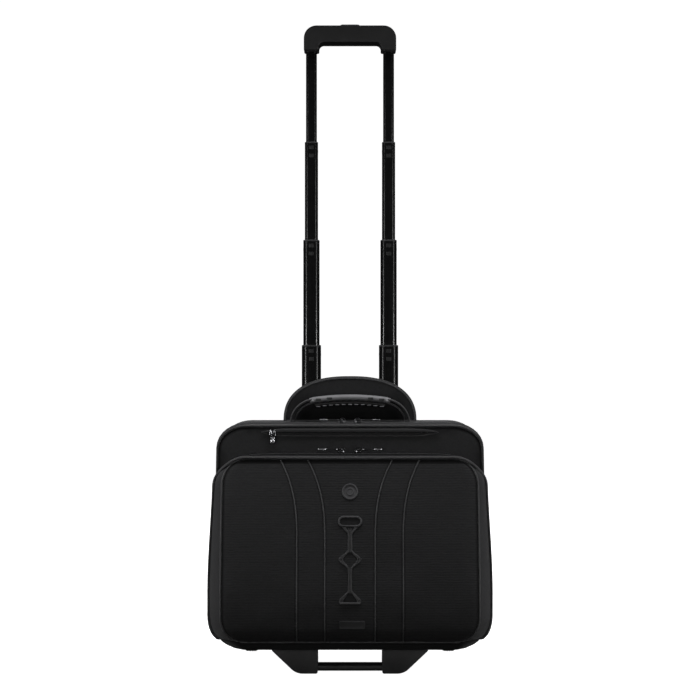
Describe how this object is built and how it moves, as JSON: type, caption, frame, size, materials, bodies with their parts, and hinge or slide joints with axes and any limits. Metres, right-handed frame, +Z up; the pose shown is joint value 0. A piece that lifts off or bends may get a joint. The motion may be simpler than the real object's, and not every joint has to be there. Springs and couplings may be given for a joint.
{
  "type": "rolling laptop case",
  "caption": "Soft upright laptop case on a front stand and rear wheels, with a telescoping trolley handle, padded hood, carry handle, zipped front half and tipping front pocket.",
  "frame": {"origin": "centre of the bounding box's base, on the floor", "axes": "+Z up along the trolley handle, front pocket towards -Y, +X to the right seen from the front"},
  "size_m": [0.444, 0.2246, 1.0527],
  "materials": {
    "nylon_body": "ribbed ballistic nylon, dull",
    "lining": "plain woven lining",
    "zip_tape": "woven zip tape",
    "webbing": "woven polyester webbing",
    "soft_grip": "satin soft-touch",
    "label_rubber": "moulded, matt",
    "moulded_plastic": "fine moulded texture",
    "tube_metal": "black anodised, semi-gloss",
    "zip_metal": "black nickel",
    "bright_metal": "satin nickel",
    "tyre_rubber": "matt",
    "steel": "turned"
  },
  "bodies": {
    "bag": {"bag_body": "nylon_body", "back_lining_panel": "lining", "trolley_hood": "nylon_body", "trolley_bezel": "moulded_plastic", "trolley_base_bracket": "moulded_plastic", "front_stand": "moulded_plastic", "outer_tube_left": "tube_metal", "wheel_housing_left": "moulded_plastic", "axle_left": "steel", "outer_tube_right": "tube_metal", "wheel_housing_right": "moulded_plastic", "axle_right": "steel"},
    "front_half": {"front_half_shell": "nylon_body", "organiser_zip_welt": "zip_tape"},
    "front_pocket": {"front_pocket": "nylon_body", "front_badge": "label_rubber", "front_label_plate": "label_rubber", "lace_trim": "webbing"},
    "carry_handle": {"carry_strap_left": "webbing", "carry_strap_right": "webbing", "carry_grip_shell": "soft_grip", "carry_grip_pad": "webbing"},
    "trolley_stage_4": {"tube_4_left": "tube_metal", "collar_4_left": "moulded_plastic", "tube_4_right": "tube_metal", "collar_4_right": "moulded_plastic"},
    "trolley_stage_3": {"tube_3_left": "tube_metal", "collar_3_left": "moulded_plastic", "lock_block_3_left": "moulded_plastic", "tube_3_right": "tube_metal", "collar_3_right": "moulded_plastic", "lock_block_3_right": "moulded_plastic"},
    "trolley_stage_2": {"tube_2_left": "tube_metal", "collar_2_left": "moulded_plastic", "lock_block_2_left": "moulded_plastic", "tube_2_right": "tube_metal", "collar_2_right": "moulded_plastic", "lock_block_2_right": "moulded_plastic"},
    "trolley_stage_1": {"tube_1_left": "tube_metal", "lock_block_1_left": "moulded_plastic", "tube_1_right": "tube_metal", "lock_block_1_right": "moulded_plastic", "grip_front_shell": "soft_grip", "grip_rear_shell": "soft_grip"},
    "release": {"release_button": "moulded_plastic", "release_yoke": "moulded_plastic"},
    "wheel_left": {"wheel_tyre_left": "tyre_rubber", "wheel_hub_left": "moulded_plastic"},
    "wheel_right": {"wheel_tyre_right": "tyre_rubber", "wheel_hub_right": "moulded_plastic"},
    "main_zip_left_slider": {"main_zip_left_slider": "zip_metal"},
    "main_zip_left_pull": {"main_zip_left_pull": "zip_metal"},
    "main_zip_right_slider": {"main_zip_right_slider": "zip_metal"},
    "main_zip_right_pull": {"main_zip_right_pull": "zip_metal"},
    "pocket_zip_left_slider": {"pocket_zip_left_slider": "zip_metal"},
    "pocket_zip_left_pull": {"pocket_zip_left_pull": "zip_metal"},
    "pocket_zip_right_slider": {"pocket_zip_right_slider": "zip_metal"},
    "pocket_zip_right_pull": {"pocket_zip_right_pull": "zip_metal"},
    "organiser_zip_slider": {"organiser_zip_slider": "bright_metal"},
    "organiser_zip_pull": {"organiser_zip_pull": "bright_metal"}
  },
  "joints": [
    {"name": "trolley_slide_4", "type": "slide", "parent": "bag", "child": "trolley_stage_4", "axis": [0, 0, 1], "range_m": [-0.121, 0]},
    {"name": "trolley_slide_3", "type": "slide", "parent": "trolley_stage_4", "child": "trolley_stage_3", "axis": [0, 0, 1], "range_m": [-0.176, 0]},
    {"name": "trolley_slide_2", "type": "slide", "parent": "trolley_stage_3", "child": "trolley_stage_2", "axis": [0, 0, 1], "range_m": [-0.164, 0]},
    {"name": "trolley_slide_1", "type": "slide", "parent": "trolley_stage_2", "child": "trolley_stage_1", "axis": [0, 0, 1], "range_m": [-0.1506, 0]},
    {"name": "release_press", "type": "slide", "parent": "trolley_stage_1", "child": "release", "axis": [0, 0, -1], "range_m": [0, 0.004], "stiffness_N_per_m": 500, "springref_m": -0.01},
    {"name": "wheel_spin_left", "type": "hinge", "parent": "bag", "child": "wheel_left", "pos_m": [-0.165, 0.0763, 0.036], "axis": [1, 0, 0], "continuous": true},
    {"name": "wheel_spin_right", "type": "hinge", "parent": "bag", "child": "wheel_right", "pos_m": [0.165, 0.0763, 0.036], "axis": [1, 0, 0], "continuous": true},
    {"name": "carry_handle_fold", "type": "hinge", "parent": "bag", "child": "carry_handle", "pos_m": [0, 0.0203, 0.394], "axis": [1, 0, 0], "range_deg": [-4, 50]},
    {"name": "front_half_open", "type": "hinge", "parent": "bag", "child": "front_half", "pos_m": [0, -0.0937, 0.051], "axis": [1, 0, 0], "range_deg": [0, 75]},
    {"name": "front_pocket_open", "type": "hinge", "parent": "front_half", "child": "front_pocket", "pos_m": [0, -0.0937, 0.052], "axis": [1, 0, 0], "range_deg": [0, 14]},
    {"name": "main_zip_run_left", "type": "slide", "parent": "bag", "child": "main_zip_left_slider", "axis": [-1, 0, 0], "range_m": [0, 0.135]},
    {"name": "pocket_zip_run_left", "type": "slide", "parent": "front_half", "child": "pocket_zip_left_slider", "axis": [-1, 0, 0], "range_m": [0, 0.134]},
    {"name": "main_zip_flip_left", "type": "hinge", "parent": "main_zip_left_slider", "child": "main_zip_left_pull", "pos_m": [-0.012, -0.0037, 0.3928], "axis": [0, 1, 0], "range_deg": [0, 100]},
    {"name": "pocket_zip_flip_left", "type": "hinge", "parent": "pocket_zip_left_slider", "child": "pocket_zip_left_pull", "pos_m": [-0.0125, -0.0621, 0.3493], "axis": [0, 1, 0], "range_deg": [0, 100]},
    {"name": "main_zip_run_right", "type": "slide", "parent": "bag", "child": "main_zip_right_slider", "axis": [1, 0, 0], "range_m": [0, 0.135]},
    {"name": "pocket_zip_run_right", "type": "slide", "parent": "front_half", "child": "pocket_zip_right_slider", "axis": [1, 0, 0], "range_m": [0, 0.134]},
    {"name": "main_zip_flip_right", "type": "hinge", "parent": "main_zip_right_slider", "child": "main_zip_right_pull", "pos_m": [0.012, -0.0037, 0.3928], "axis": [0, -1, 0], "range_deg": [0, 100]},
    {"name": "pocket_zip_flip_right", "type": "hinge", "parent": "pocket_zip_right_slider", "child": "pocket_zip_right_pull", "pos_m": [0.0125, -0.0621, 0.3493], "axis": [0, -1, 0], "range_deg": [0, 100]},
    {"name": "organiser_zip_run", "type": "slide", "parent": "front_half", "child": "organiser_zip_slider", "axis": [1, 0, 0], "range_m": [0, 0.24]},
    {"name": "organiser_zip_flip", "type": "hinge", "parent": "organiser_zip_slider", "child": "organiser_zip_pull", "pos_m": [-0.122, -0.0627, 0.3755], "axis": [-1, 0, 0], "range_deg": [0, 100]}
  ]
}
